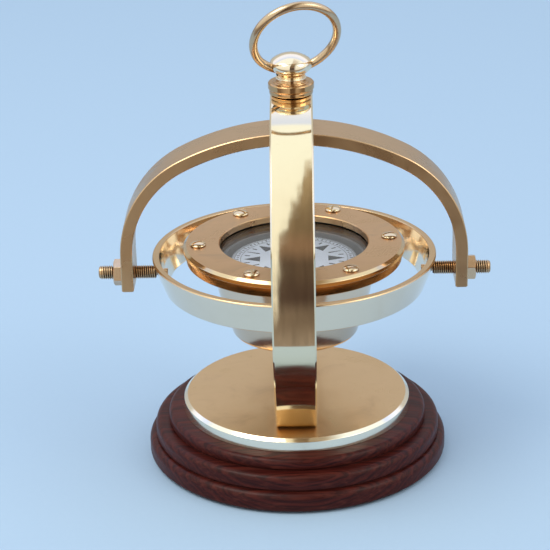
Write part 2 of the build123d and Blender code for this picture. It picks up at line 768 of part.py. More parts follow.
with BuildPart() as card_magnets:
    with BuildSketch(Plane.XY.offset(card_bottom_z)):
        with GridLocations(magnet_spacing, 0, 2, 1):
            Rectangle(magnet_width, magnet_length)
    extrude(amount=-magnet_height)
finish(card_magnets.part, "card_magnets")
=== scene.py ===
"""Looks for the gimballed table compass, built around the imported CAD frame."""
import math

import bpy
import bmesh
import numpy as np
from mathutils import Matrix, Vector


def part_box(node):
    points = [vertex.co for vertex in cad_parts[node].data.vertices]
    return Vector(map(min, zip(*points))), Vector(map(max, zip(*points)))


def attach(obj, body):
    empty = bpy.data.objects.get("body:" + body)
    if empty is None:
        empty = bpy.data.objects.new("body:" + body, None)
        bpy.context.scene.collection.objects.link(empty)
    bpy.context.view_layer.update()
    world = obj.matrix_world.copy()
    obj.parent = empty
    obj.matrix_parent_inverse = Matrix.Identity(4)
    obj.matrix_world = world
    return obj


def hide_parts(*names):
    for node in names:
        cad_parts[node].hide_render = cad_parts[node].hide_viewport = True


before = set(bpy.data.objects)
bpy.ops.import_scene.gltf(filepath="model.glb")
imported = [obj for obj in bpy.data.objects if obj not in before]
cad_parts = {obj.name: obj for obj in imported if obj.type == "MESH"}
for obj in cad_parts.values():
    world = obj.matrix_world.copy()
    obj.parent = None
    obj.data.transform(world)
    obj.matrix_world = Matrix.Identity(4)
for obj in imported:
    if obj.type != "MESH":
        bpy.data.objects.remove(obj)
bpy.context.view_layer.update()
MM = 0.001
SMOOTH_ANGLE = math.radians(30)
TURNS = 256


def span(node):
    """A CAD node's box in millimetres."""
    low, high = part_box(node)
    return np.array(low) / MM, np.array(high) / MM


def top(node):
    """A CAD node's highest point in millimetres, to the nearest micrometre."""
    return round(float(span(node)[1][2]), 3)


WOOD_TOP, PLATE_TOP, BEZEL_TOP = top("wood_base"), top("base_plate"), top("bezel_ring")


# ---- materials ----------------------------------------------------------

class Graph:
    """A node material: every method adds one node and returns its useful output."""

    def __init__(self, name):
        self.material = bpy.data.materials.new(name)
        self.material.use_nodes = True
        self.tree = self.material.node_tree
        self.bsdf = self.tree.nodes["Principled BSDF"]
        self.position = self.add("ShaderNodeTexCoord").outputs["Object"]

    def add(self, kind, settings=None, **inputs):
        node = self.tree.nodes.new(kind)
        for key, value in (settings or {}).items():
            setattr(node, key, value)
        for key, value in inputs.items():
            numbered = key[0] == "i" and key[1:].isdigit()
            self.plug(node.inputs[int(key[1:]) if numbered else key.replace("_", " ")], value)
        return node

    def plug(self, socket, value):
        if isinstance(value, bpy.types.NodeSocket):
            self.tree.links.new(value, socket)
        elif value is not None:
            socket.default_value = value

    def stretch(self, scale, source=None):
        return self.add("ShaderNodeMapping", Vector=source or self.position, Scale=scale).outputs[0]

    def noise(self, vector, scale, detail=3.0, roughness=0.5, distortion=0.0):
        node = self.add("ShaderNodeTexNoise", Vector=vector, Scale=scale, Detail=detail,
                        Roughness=roughness, Distortion=distortion)
        return node.outputs["Fac"]

    def noise_line(self, value, detail=2.0):
        node = self.add("ShaderNodeTexNoise", {"noise_dimensions": "1D"}, W=value, Scale=1.0, Detail=detail)
        return node.outputs["Fac"]

    def math(self, operation, a, b=None, c=None):
        return self.add("ShaderNodeMath", {"operation": operation}, i0=a, i1=b, i2=c).outputs[0]

    def ramp(self, value, low, high, out_low=0.0, out_high=1.0):
        node = self.add("ShaderNodeMapRange", {"interpolation_type": "SMOOTHSTEP"}, i0=value, i1=low, i2=high,
                        i3=out_low, i4=out_high)
        return node.outputs[0]

    def blend(self, factor, first, second):
        node = self.add("ShaderNodeMix", {"data_type": "RGBA"}, i0=factor)
        self.plug(node.inputs[6], first)
        self.plug(node.inputs[7], second)
        return node.outputs[2]

    def radius(self, axis_scale=(1, 1, 0), shift=(0, 0, 0)):
        moved = self.add("ShaderNodeVectorMath", {"operation": "ADD"}, i0=self.position, i1=shift).outputs[0]
        flat = self.add("ShaderNodeVectorMath", {"operation": "MULTIPLY"}, i0=moved, i1=axis_scale).outputs[0]
        return self.add("ShaderNodeVectorMath", {"operation": "LENGTH"}, i0=flat).outputs["Value"]

    def bump(self, height, strength, distance, normal=None):
        node = self.add("ShaderNodeBump", Height=height, Strength=strength, Distance=distance)
        self.plug(node.inputs["Normal"], normal)
        return node.outputs[0]

    def surface(self, **values):
        for key, value in values.items():
            self.plug(self.bsdf.inputs[key.replace("_", " ")], value)
        return self.material


GOLD = (0.92, 0.77, 0.53, 1)
# pale cream, used only on the plate's edge as a painted highlight
HIGHLIGHT_PALE = (0.95, 0.85, 0.68, 1)
BRONZE = (0.62, 0.42, 0.24, 1)
DEEP = (0.62, 0.40, 0.20, 1)
STAINED = (0.50, 0.34, 0.20, 1)


def brass(name, rough=0.12, rough_spread=0.10, finish=None, stain=0.25, wobble=0.25, colour=GOLD, lines=0.12,
          deep=DEEP, sway=(60, 60, 60)):
    """Polished or satin brass: smudges, stains, hairline marks along the way it was finished."""
    g = Graph(name)
    smudge = g.noise(g.position, 42.0, 5.0, 0.6, 0.6)
    fine = g.noise(g.position, 420.0, 3.0, 0.6)
    if finish == "turned":
        mark = g.noise_line(g.math("MULTIPLY", g.radius(), 5200.0))
    elif finish == "loop":
        mark = g.noise(g.stretch((2600, 55, 55)), 1.0, 2.0)
    elif finish == "arch":
        mark = g.noise(g.stretch((60, 1900, 60)), 1.0, 2.0)
    elif finish == "band":
        mark = g.noise(g.stretch((40, 40, 2600)), 1.0, 2.0)
    else:
        mark = g.noise(g.stretch((600, 900, 700)), 1.0, 4.0)
    tone = g.ramp(smudge, 0.50, 0.78, 0.0, stain)
    speck = g.ramp(fine, 0.62, 0.80, 0.0, stain * 0.6)
    colour_out = g.blend(g.math("MAXIMUM", tone, speck), colour, deep)
    roughness = g.math("ADD", g.ramp(smudge, 0.3, 0.75, rough, rough + rough_spread),
                       g.math("MULTIPLY", mark, rough_spread * 0.5))
    soft = g.bump(g.noise(g.stretch(sway), 1.0, 1.5), wobble, 0.0006)
    hair = g.bump(mark, lines, 0.00004, soft)
    return g.surface(Base_Color=colour_out, Metallic=1.0, Roughness=roughness, Normal=hair)


def rosewood():
    """Dark red-brown turned wood under clear lacquer, grain running along X."""
    g = Graph("rosewood_lacquered")
    drift = g.noise(g.stretch((9, 34, 34)), 1.0, 4.0, 0.6)
    ring_radius = g.math("ADD", g.radius((0, 1, 1), (0, -0.035, 0.12)), g.math("MULTIPLY", drift, 0.012))
    rings = g.noise_line(g.math("MULTIPLY", ring_radius, 620.0), 3.0)
    streak = g.noise(g.stretch((22, 520, 520)), 1.0, 4.0, 0.65)
    pores = g.ramp(g.noise(g.stretch((95, 1700, 1700)), 1.0, 2.0), 0.66, 0.74)
    light = g.blend(g.ramp(rings, 0.38, 0.66), (0.026, 0.0036, 0.0030, 1), (0.066, 0.0095, 0.0064, 1))
    warm = g.blend(g.ramp(streak, 0.45, 0.75, 0.0, 0.7), light, (0.105, 0.022, 0.014, 1))
    dark = g.blend(g.math("MULTIPLY", pores, 0.75), warm, (0.012, 0.004, 0.003, 1))
    rough = g.ramp(streak, 0.3, 0.7, 0.36, 0.50)
    grain = g.bump(g.math("SUBTRACT", streak, pores), 0.22, 0.00012)
    lacquer = g.bump(g.noise(g.position, 130.0, 2.0), 0.12, 0.0002)
    return g.surface(Base_Color=dark, Roughness=rough, Normal=grain, Coat_Weight=0.09, Coat_Roughness=0.16,
                     Coat_Normal=lacquer, Specular_IOR_Level=0.12)


def felt():
    g = Graph("green_felt")
    fibre = g.noise(g.position, 1600.0, 4.0, 0.7, 1.5)
    patch = g.noise(g.position, 60.0, 3.0)
    colour = g.blend(fibre, (0.012, 0.045, 0.022, 1), (0.035, 0.11, 0.055, 1))
    colour = g.blend(g.math("MULTIPLY", patch, 0.4), colour, (0.02, 0.06, 0.04, 1))
    return g.surface(Base_Color=colour, Roughness=0.95, Normal=g.bump(fibre, 0.8, 0.0004), Sheen_Weight=0.5)


def paper(name, base, faint):
    g = Graph(name)
    tooth = g.noise(g.position, 2400.0, 4.0, 0.7)
    age = g.noise(g.position, 55.0, 4.0, 0.6)
    colour = g.blend(g.ramp(age, 0.4, 0.75, 0.0, 0.6), base, faint)
    return g.surface(Base_Color=colour, Roughness=g.ramp(tooth, 0.3, 0.7, 0.5, 0.7),
                     Normal=g.bump(tooth, 0.15, 0.00005))


def paint(name, base, chip, rough=0.5):
    g = Graph(name)
    peel = g.noise(g.position, 900.0, 3.0)
    cloud = g.noise(g.position, 70.0, 4.0)
    colour = g.blend(g.ramp(cloud, 0.4, 0.8, 0.0, 0.5), base, chip)
    return g.surface(Base_Color=colour, Roughness=g.ramp(cloud, 0.3, 0.7, rough - 0.1, rough + 0.1),
                     Normal=g.bump(peel, 0.12, 0.00008))


def rubber():
    g = Graph("gasket_rubber")
    grain = g.noise(g.position, 1800.0, 3.0)
    colour = g.blend(grain, (0.012, 0.012, 0.013, 1), (0.03, 0.03, 0.03, 1))
    return g.surface(Base_Color=colour, Roughness=0.7, Normal=g.bump(grain, 0.3, 0.0001))


def glass():
    g = Graph("cover_glass_clear")
    smear = g.noise(g.position, 45.0, 4.0, 0.6)
    return g.surface(Base_Color=(0.97, 0.985, 0.99, 1), Roughness=g.ramp(smear, 0.45, 0.8, 0.0, 0.03),
                     Transmission_Weight=1.0, IOR=1.25)


def steel(name, base=(0.45, 0.45, 0.47, 1), rough=0.25):
    g = Graph(name)
    brushed = g.noise(g.stretch((300, 300, 2200)), 1.0, 3.0)
    spots = g.noise(g.position, 160.0, 4.0)
    colour = g.blend(g.ramp(spots, 0.5, 0.8, 0.0, 0.5), base, (0.2, 0.17, 0.14, 1))
    return g.surface(Base_Color=colour, Metallic=1.0,
                     Roughness=g.ramp(brushed, 0.3, 0.7, rough, rough + 0.15),
                     Normal=g.bump(brushed, 0.15, 0.00005))


LOOP_BRASS = brass("brass_loop_buffed", 0.045, 0.035, "loop", 0.10, 0.16, lines=0.05, sway=(90, 9, 9))
ARCH_BRASS = brass("brass_arch_satin", 0.22, 0.14, "arch", 0.60, 0.25, (0.62, 0.41, 0.23, 1), 0.25, STAINED)
PLATE_BRASS = brass("brass_plate_satin", 0.24, 0.16, "turned", 0.50, 0.20, (0.67, 0.45, 0.235, 1), 0.10,
                    STAINED)
# the plate's bevel and side: really polished, and their paler colour is a painted highlight
PLATE_EDGE_HIGHLIGHT = brass("brass_plate_edge_painted_highlight", 0.10, 0.06, "turned", 0.15, 0.15, HIGHLIGHT_PALE, 0.06)
BEZEL_BRASS = brass("brass_bezel_satin", 0.22, 0.16, "turned", 0.75, 0.20, (0.65, 0.40, 0.205, 1), 0.15,
                    STAINED)
# the bezel's bevel and side: really polished, and their lighter colour is a painted highlight
BEZEL_EDGE_HIGHLIGHT = brass("brass_bezel_edge_painted_highlight", 0.08, 0.06, "turned", 0.25, 0.15, (0.74, 0.55, 0.33, 1), 0.06)
BAND_BRASS = brass("brass_band_polished", 0.07, 0.05, "band", 0.14, 0.15, (0.93, 0.79, 0.61, 1), 0.08)
BOWL_BRASS = brass("brass_bowl_polished", 0.07, 0.05, "band", 0.20, 0.15, (0.80, 0.62, 0.45, 1), 0.08)
FLANGE_BRASS = brass("brass_flange_deep", 0.10, 0.08, "band", 0.20, 0.15, (0.54, 0.31, 0.14, 1), 0.10)
LIP_BRASS = brass("brass_lip_tan", 0.15, 0.10, "turned", 0.30, 0.15, (0.70, 0.48, 0.27, 1), 0.08)
FINIAL_BRASS = brass("brass_finial_polished", 0.06, 0.06, "band", 0.15, 0.20, (0.92, 0.78, 0.58, 1), 0.06)
COLLAR_BRASS = brass("brass_collar_deep", 0.08, 0.08, "band", 0.35, 0.20, (0.58, 0.35, 0.17, 1), 0.08)
WIRE_BRASS = brass("brass_wire_drawn", 0.13, 0.12, None, 0.55, 0.30, (0.64, 0.46, 0.29, 1), 0.25, STAINED)
FITTING_BRASS = brass("brass_fittings", 0.13, 0.10, None, 0.40, 0.12, (0.72, 0.50, 0.32, 1), 0.12, STAINED)
STUD_BRASS = brass("bronze_studs", 0.14, 0.12, None, 0.45, 0.10, BRONZE, 0.12, (0.32, 0.20, 0.12, 1))
SCREW_BRASS = brass("brass_screw_heads", 0.08, 0.08, None, 0.35, 0.15, (0.78, 0.60, 0.38, 1), 0.08, STAINED)
# near-black brass for the studs' thread grooves
STUD_GROOVE_DARK = brass("bronze_thread_groove_dark", 0.45, 0.20, None, 0.45, 0.10, (0.10, 0.06, 0.04, 1), 0.12,
                   (0.05, 0.03, 0.02, 1))
WOOD = rosewood()
FELT = felt()
CARD = paper("card_paper", (0.82, 0.86, 0.96, 1), (0.72, 0.76, 0.88, 1))
INK = paper("card_ink", (0.006, 0.007, 0.018, 1), (0.014, 0.015, 0.03, 1))
LINER = paint("liner_grey", (0.25, 0.235, 0.255, 1), (0.17, 0.16, 0.175, 1), 0.45)
# near-black for the bowl's bore above the liner: painted shade under the glass and bezel
RIM_PAINTED_SHADE = paint("rim_painted_shade", (0.035, 0.028, 0.030, 1), (0.07, 0.05, 0.05, 1), 0.4)
RUBBER = rubber()
GLASS = glass()
STEEL = steel("bolt_steel")
MAGNET = steel("magnet_black", (0.06, 0.06, 0.065, 1), 0.35)


# ---- mesh building ------------------------------------------------------

def soften(corners, closed=False, step=9.0):
    """Rounds a polygon's corners. Each corner is (x, y) or (x, y, radius)."""
    points = []
    count = len(corners)
    for index, corner in enumerate(corners):
        here = np.array(corner[:2], float)
        radius = corner[2] if len(corner) > 2 else 0.0
        if radius <= 0 or (not closed and index in (0, count - 1)):
            points.append(tuple(here))
            continue
        before = np.array(corners[index - 1][:2], float) - here
        after = np.array(corners[(index + 1) % count][:2], float) - here
        before /= np.linalg.norm(before)
        after /= np.linalg.norm(after)
        half = math.acos(max(-1.0, min(1.0, float(before @ after)))) / 2
        reach = radius / math.tan(half)
        centre = here + (before + after) / np.linalg.norm(before + after) * radius / math.sin(half)
        start = here + before * reach - centre
        end = here + after * reach - centre
        turn = math.atan2(start[0] * end[1] - start[1] * end[0], float(start @ end))
        pieces = max(2, int(abs(math.degrees(turn)) / step) + 1)
        for k in range(pieces + 1):
            a = turn * k / pieces
            points.append((centre[0] + start[0] * math.cos(a) - start[1] * math.sin(a),
                           centre[1] + start[0] * math.sin(a) + start[1] * math.cos(a)))
    return points


def piece(name, verts, faces, material, body, replaces=(), matrix=None, smooth=SMOOTH_ANGLE, scale=MM):
    """Makes one mesh object in metres and ties it to the frame."""
    mesh = bpy.data.meshes.new(name)
    mesh.from_pydata([tuple(v) for v in verts], [], [tuple(f) for f in faces])
    bm = bmesh.new()
    bm.from_mesh(mesh)
    bmesh.ops.remove_doubles(bm, verts=bm.verts, dist=1e-5)
    bmesh.ops.dissolve_degenerate(bm, edges=bm.edges, dist=1e-6)
    bmesh.ops.recalc_face_normals(bm, faces=bm.faces)
    if matrix is not None:
        bm.transform(matrix)
    bm.transform(Matrix.Scale(scale, 4))
    bm.to_mesh(mesh)
    bm.free()
    obj = bpy.data.objects.new(name, mesh)
    bpy.context.scene.collection.objects.link(obj)
    for one in (material if isinstance(material, (list, tuple)) else [material]):
        mesh.materials.append(one)
    settle(obj, smooth)
    if body:
        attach(obj, body)
    if replaces:
        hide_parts(*replaces)
    return obj


def settle(obj, smooth=SMOOTH_ANGLE):
    """Smooth shading between sharp edges, with flat faces kept flat."""
    mesh = obj.data
    mesh.shade_smooth()
    mesh.set_sharp_from_angle(angle=smooth)
    weighted = obj.modifiers.new("weighted_normals", "WEIGHTED_NORMAL")
    weighted.keep_sharp = True
    weighted.weight = 60


def repaint(obj, index, where):
    """Gives the faces picked by their radius and height another of the object's materials."""
    for polygon in obj.data.polygons:
        x, y, z = polygon.center / MM
        if where(math.hypot(x, y), z):
            polygon.material_index = index


def turned(name, profile, material, body, replaces=(), closed=False, matrix=None, turns=TURNS):
    """Revolves a (radius, height) outline about Z."""
    verts, faces = [], []
    rows = []
    for radius, height in profile:
        if radius < 1e-6:
            rows.append([len(verts)] * turns)
            verts.append((0, 0, height))
            continue
        rows.append(list(range(len(verts), len(verts) + turns)))
        for k in range(turns):
            a = 2 * math.pi * k / turns
            verts.append((radius * math.cos(a), radius * math.sin(a), height))
    pairs = list(zip(rows, rows[1:])) + ([(rows[-1], rows[0])] if closed else [])
    for low, high in pairs:
        for k in range(turns):
            n = (k + 1) % turns
            face = []
            for index in (low[k], low[n], high[n], high[k]):
                if index not in face:
                    face.append(index)
            if len(face) > 2:
                faces.append(face)
    return piece(name, verts, faces, material, body, replaces, matrix)


def walk(start, heading, moves, step=2.0):
    """Points along lines and arcs. Each move is ("line", length) or ("arc", radius, degrees to the right)."""
    x, y = start
    points = [(x, y)]
    for move in moves:
        if move[0] == "line":
            pieces = max(1, int(move[1] / step))
            for _ in range(pieces):
                x += move[1] / pieces * math.cos(heading)
                y += move[1] / pieces * math.sin(heading)
                points.append((x, y))
            continue
        radius, turn = move[1], math.radians(move[2])
        cx, cy = x + radius * math.sin(heading), y - radius * math.cos(heading)
        pieces = max(6, int(abs(move[2]) / 1.5), int(radius * abs(turn) / step))
        base = heading + math.pi / 2
        for k in range(1, pieces + 1):
            a = base - turn * k / pieces
            points.append((cx + radius * math.cos(a), cy + radius * math.sin(a)))
        heading -= turn
        x, y = points[-1]
    return points


def bar_section(width, thickness, edge, crown):
    """A flat bar's section: lightly crowned faces and eased, chamfered edges."""
    a, b, small = width / 2, thickness / 2, 0.28
    corners = [(a, -b + edge, small), (a, b - edge, small), (a - edge, b, small)]
    steps = 8
    face = [(a - edge - (2 * (a - edge)) * k / steps) for k in range(1, steps)]
    corners += [(x, b + crown * (1 - (x / (a - edge)) ** 2)) for x in face]
    corners += [(-a + edge, b, small), (-a, b - edge, small), (-a, -b + edge, small), (-a + edge, -b, small)]
    corners += [(-x, -b - crown * (1 - (x / (a - edge)) ** 2)) for x in face]
    corners += [(a - edge, -b, small)]
    return soften(corners, closed=True, step=15)


def bar(name, path, closed, section, material, body, replaces, to_world, end_edge=0.0):
    """Sweeps a bar's section (across, outward) along a flat path."""
    path = np.array(path)
    section = np.array(section)
    ahead = np.roll(path, -1, axis=0) - path
    behind = path - np.roll(path, 1, axis=0)
    tangent = ahead / np.linalg.norm(ahead, axis=1, keepdims=True)
    tangent = tangent + behind / np.linalg.norm(behind, axis=1, keepdims=True)
    if not closed:
        tangent[0], tangent[-1] = ahead[0], behind[-1]
    tangent /= np.linalg.norm(tangent, axis=1)[:, None]
    outward = np.stack([-tangent[:, 1], tangent[:, 0]], axis=1)
    stations = [(path[k], outward[k], 0.0) for k in range(len(path))]
    if not closed:
        stations[0] = (path[0] + tangent[0] * end_edge, outward[0], 0.0)
        stations[-1] = (path[-1] - tangent[-1] * end_edge, outward[-1], 0.0)
        stations.insert(0, (path[0], outward[0], end_edge))
        stations.append((path[-1], outward[-1], end_edge))
    half = np.abs(section).max(axis=0)
    verts = []
    for centre, normal, inset in stations:
        for across, out in section * (1 - inset / half):
            flat = centre + normal * out
            verts.append(to_world(across, flat[0], flat[1]))
    m, faces = len(section), []
    for s in range(len(stations) - (0 if closed else 1)):
        t = (s + 1) % len(stations)
        for k in range(m):
            n = (k + 1) % m
            faces.append((s * m + k, s * m + n, t * m + n, t * m + k))
    if not closed:
        faces.append(tuple(range(m)))
        faces.append(tuple(range((len(stations) - 1) * m, len(stations) * m)))
    return piece(name, verts, faces, material, body, replaces)


def threaded(name, start, end, radius, pitch, tip_round, material, body, replaces=(), matrix=None,
             cut=0.52):
    """A rod along Z with a real helical thread and a rounded tip at its far end."""
    columns, per_pitch = 40, 8
    depth = cut * pitch
    shape = [0, 0, 0.15, 0.9, 1, 1, 0.6, 0]
    rows = int((end - start) / pitch * per_pitch) + 3 * per_pitch

    def limit(z):
        over = z - (end - tip_round)
        tip = radius if over <= 0 else radius - tip_round + math.sqrt(max(tip_round**2 - over**2, 0))
        under = start + depth - z
        return min(tip, radius if under <= 0 else radius - under)

    verts = []
    for column in range(columns):
        for row in range(rows):
            z = start + (row / per_pitch - 1) * pitch + pitch * column / columns
            z = min(max(z, start), end)
            level = shape[row % per_pitch]
            r = min(radius - depth * level, limit(z))
            a = 2 * math.pi * column / columns
            verts.append((r * math.cos(a), r * math.sin(a), z))
    faces = []
    for column in range(columns):
        for row in range(rows - 1):
            following, shift = (column + 1, 0) if column + 1 < columns else (0, per_pitch)
            if row + shift + 1 >= rows:
                continue
            faces.append((column * rows + row, column * rows + row + 1,
                          following * rows + row + shift + 1, following * rows + row + shift))
    low, high = len(verts), len(verts) + 1
    verts += [(0, 0, start), (0, 0, end)]
    for column in range(columns):
        n = (column + 1) % columns
        faces.append((column * rows, n * rows, low))
        faces.append((column * rows + rows - 1, n * rows + rows - 1, high))
    return piece(name, verts, faces, material, body, replaces, matrix, smooth=math.radians(38))


def hex_outline(flats, corner, count_side=10):
    """(angle, radius) round a hexagon with slightly rounded corners, first corner at angle 0."""
    apothem = flats / 2
    reach = (apothem - corner) / math.cos(math.radians(30))
    edge_angle = math.atan2(corner * math.sin(math.radians(30)), reach + corner * math.cos(math.radians(30)))
    out = []
    for side in range(6):
        base = math.radians(60 * side)
        for phi in np.linspace(-edge_angle, edge_angle, 5):
            out.append((base + phi, reach * math.cos(phi) + math.sqrt(corner**2 - (reach * math.sin(phi)) ** 2)))
        rest = np.linspace(edge_angle, math.radians(60) - edge_angle, count_side + 2)[1:-1]
        out += [(base + phi, apothem / math.cos(math.radians(30) - phi)) for phi in rest]
    return out


def hex_nut(name, height, bore, flats, material, body, replaces, matrices):
    """One or more hexagon nuts with 30 degree chamfers and a countersunk bore."""
    outline = hex_outline(flats, 0.35)
    face_radius = flats / 2 * 0.94
    verts, faces = [], []
    for matrix in matrices:
        rings = []
        for kind in ("bore_low", "sink_low", "face_low", "side_low", "side_high", "face_high", "sink_high",
                     "bore_high"):
            ring = []
            for angle, r_hex in outline:
                drop = max(r_hex - face_radius, 0) * math.tan(math.radians(28))
                r, z = {"bore_low": (bore, 0.7), "sink_low": (bore + 0.7, 0), "face_low": (face_radius, 0),
                        "side_low": (r_hex, drop), "side_high": (r_hex, height - drop),
                        "face_high": (face_radius, height),
                        "sink_high": (bore + 0.7, height), "bore_high": (bore, height - 0.7)}[kind]
                ring.append(len(verts))
                verts.append(tuple(matrix @ Vector((r * math.cos(angle), r * math.sin(angle), z))))
            rings.append(ring)
        rings.append(rings[0])
        for low, high in zip(rings, rings[1:]):
            for k in range(len(low)):
                n = (k + 1) % len(low)
                faces.append((low[k], low[n], high[n], high[k]))
    return piece(name, verts, faces, material, body, replaces, smooth=math.radians(24))


def carve(obj, *cutters):
    """Cuts pieces out of an object and throws the cutters away."""
    for cutter in cutters:
        cut = obj.modifiers.new("cut", "BOOLEAN")
        cut.operation = "DIFFERENCE"
        cut.solver = "EXACT"
        cut.object = cutter
        obj.modifiers.move(obj.modifiers.find("cut"), 0)
        bpy.context.view_layer.update()
        shaped = bpy.data.meshes.new_from_object(_only(obj, cut))
        obj.modifiers.remove(cut)
        obj.data = shaped
        bpy.data.objects.remove(cutter)
    obj.modifiers.clear()
    settle(obj)
    return obj


def _only(obj, modifier):
    """The object evaluated with a single modifier on."""
    for other in obj.modifiers:
        other.show_viewport = other == modifier
    depsgraph = bpy.context.evaluated_depsgraph_get()
    depsgraph.update()
    return obj.evaluated_get(depsgraph)


def plain(name, corners_low, corners_high, matrix=None):
    """A box cutter between two corners, in millimetres."""
    (x0, y0, z0), (x1, y1, z1) = corners_low, corners_high
    verts = [(x, y, z) for x in (x0, x1) for y in (y0, y1) for z in (z0, z1)]
    faces = [(0, 1, 3, 2), (4, 6, 7, 5), (0, 4, 5, 1), (2, 3, 7, 6), (0, 2, 6, 4), (1, 5, 7, 3)]
    return piece(name, verts, faces, FITTING_BRASS, None, matrix=matrix)


def at(x=0, y=0, z=0):
    return Matrix.Translation((x, y, z))


# ---- wooden base, felt and plate ----------------------------------------

turned("base_turned", soften([
    (0, 0.8), (89.0, 0.8, 2.6), (89.0, 12.3, 3.8), (84.6, 12.3, 0.25), (84.1, 12.0, 0.2), (84.1, 13.1, 0.25),
    (85.0, 13.3, 0.3), (85.0, 21.6, 3.4), (76.6, 21.6, 0.25), (76.1, 21.3, 0.2), (76.1, 22.4, 0.25),
    (77.0, 22.6, 0.3),
    (77.0, 28.1, 3.2), (68.4, 28.88, 2.0), (0, WOOD_TOP)]), WOOD, "stand", ["wood_base"],
    turns=320)
turned("felt_disc", soften([(0, 0), (80, 0, 0.8), (80, 2.3), (0, 2.3)]), FELT, "stand", ["felt_pad"])
plate = turned("plate_disc", soften([(0, WOOD_TOP), (68.05, WOOD_TOP, 0.2), (67.45, 34.8, 0.4),
                                     (65.35, PLATE_TOP, 0.35), (0, PLATE_TOP)]),
               [PLATE_BRASS, PLATE_EDGE_HIGHLIGHT], "stand", ["base_plate"], turns=320)
# the bevel and side take the paler, polished copy; the paleness paints in their bright highlight
repaint(plate, 1, lambda r, z: r > 65.5)

# ---- carrying loop and suspension arch ----------------------------------

LOOP_T, LOOP_W = 5.0, 24.0
crown_r, shoulder_r, bend_r = 99.0 - LOOP_T / 2, 22.0 - LOOP_T / 2, 10.5 - LOOP_T / 2
apex_z = 222.4 - LOOP_T / 2
lean = math.radians(34)
first = math.radians(11)
foot_z = PLATE_TOP + LOOP_T / 2
leg_top = apex_z - crown_r - crown_r * math.sin(first) - shoulder_r * (math.sin(lean) - math.sin(first))
leg_length = (leg_top - foot_z - bend_r * (1 - math.sin(lean))) / math.cos(lean)
half = walk((0, apex_z), 0.0, [("arc", crown_r, 101), ("arc", shoulder_r, 23), ("line", leg_length),
                               ("arc", bend_r, 56)], step=1.6)
half += walk(half[-1], math.pi, [("line", half[-1][0])], step=2.0)[1:]
loop_path = half + [(-y, z) for y, z in half[-2:0:-1]]
bar("loop_bar", loop_path, True, bar_section(LOOP_W, LOOP_T, 0.9, 0.24), LOOP_BRASS, "stand",
    ["frame_loop"], lambda across, y, z: (across, y, z))

ARCH_T, ARCH_W, ARCH_TURN = 7.0, 29.0, 61.7
span_c, top_c, spring = 100.6 - ARCH_T / 2, 202.5 - ARCH_T / 2, 128.8
inset = span_c - ARCH_TURN
crown_arch = (inset**2 + (top_c - spring) ** 2 - ARCH_TURN**2) / (2 * (top_c - spring - ARCH_TURN))
crown_angle = math.degrees(math.asin(inset / (crown_arch - ARCH_TURN)))
arch_half = walk((0, top_c), 0.0, [("arc", crown_arch, crown_angle), ("arc", ARCH_TURN, 90 - crown_angle),
                                   ("line", spring - 107.2)], step=2.0)
arch_path = [(-x, z) for x, z in arch_half[:0:-1]] + arch_half
bar("arch_bar", arch_path, False, bar_section(ARCH_W, ARCH_T, 0.5, 0.06), ARCH_BRASS, "stand",
    ["suspension_arch"], lambda across, x, z: (x, across, z), end_edge=0.5)

# ---- foot and stem fasteners --------------------------------------------

PITCH = 1.25
turned("foot_washer", soften([(4.1, 41.5), (8.6, 41.5, 0.3), (8.6, 42.7, 0.3), (4.1, 42.7)], True),
       FITTING_BRASS, "stand",
       ["base_washer"], closed=True, turns=96)
hex_nut("foot_nut", 4.4, 4.05, 13.8, FITTING_BRASS, "stand", ["base_nut"], [at(z=42.7)])
threaded("foot_bolt", 6.0, 48.2, 4.0, PITCH, 0.7, STEEL, "stand", ["base_bolt"])
turned("foot_bolt_head", soften([(0, 2.35), (10.0, 2.35, 0.5), (10.0, 6.0), (0, 6.0)]), STEEL, "stand",
       turns=96)
turned("stem_washer_disc", soften([(4.1, span("stem_washer")[0][2]), (8.6, span("stem_washer")[0][2], 0.3),
                                   (8.6, span("stem_washer")[1][2], 0.3), (4.1, span("stem_washer")[1][2])],
                                   True),
       FITTING_BRASS, "stand", ["stem_washer"], closed=True, turns=96)
hex_nut("stem_hex_nut", 5.0, 4.05, 13.8, FITTING_BRASS, "stand", ["stem_nut"],
        [at(z=span("stem_nut")[0][2])])
threaded("stem_rod", -231.0, -span("stem_bolt")[0][2], 4.0, PITCH, 0.7, FITTING_BRASS, "stand",
         ["stem_bolt"], matrix=Matrix.Rotation(math.pi, 4, "X"))
turned("stem_sleeve", soften([(4.1, 202.5), (8.0, 202.5, 0.3), (8.0, 217.06, 0.3), (4.1, 217.06)], True),
       FITTING_BRASS,
       "stand", ["spacer_sleeve"], closed=True, turns=128)

screws = []
for side in (-25.0, 25.0):
    screws.append(turned("foot_screw_" + ("front" if side < 0 else "rear"), soften([
        (0, 17.0), (2.0, 19.2), (2.2, 21.0), (2.2, 39.2), (4.45, 41.35, 0.1), (4.2, 41.55, 0.1), (0, 41.75)]),
        FITTING_BRASS, "stand", matrix=at(y=side), turns=64))
for screw, side in zip(screws, (-25.0, 25.0)):
    carve(screw, plain("slot", (-6, side - 0.55, 40.6), (6, side + 0.55, 43)))
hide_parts("loop_screws")

# ---- finial and carrying ring -------------------------------------------

turned("finial_washer_disc", soften([(4.1, 222.4), (12.5, 222.4, 0.5), (12.5, 224.9, 0.6), (4.1, 224.9)],
                                    True),
       COLLAR_BRASS, "stand", ["finial_washer"], closed=True)
turned("finial_collar_disc", soften([
    (4.1, 224.9), (12.6, 224.9, 0.2), (13.1, 225.5, 0.35), (13.1, 228.5, 0.6), (12.4, 229.2, 0.3),
    (10.4, 229.2, 0.15),
    (10.2, 229.7, 0.2), (9.2, 229.7, 0.1), (9.0, 230.2, 0.2), (4.1, 230.2)], True),
    COLLAR_BRASS, "stand", ["finial_collar"], closed=True)

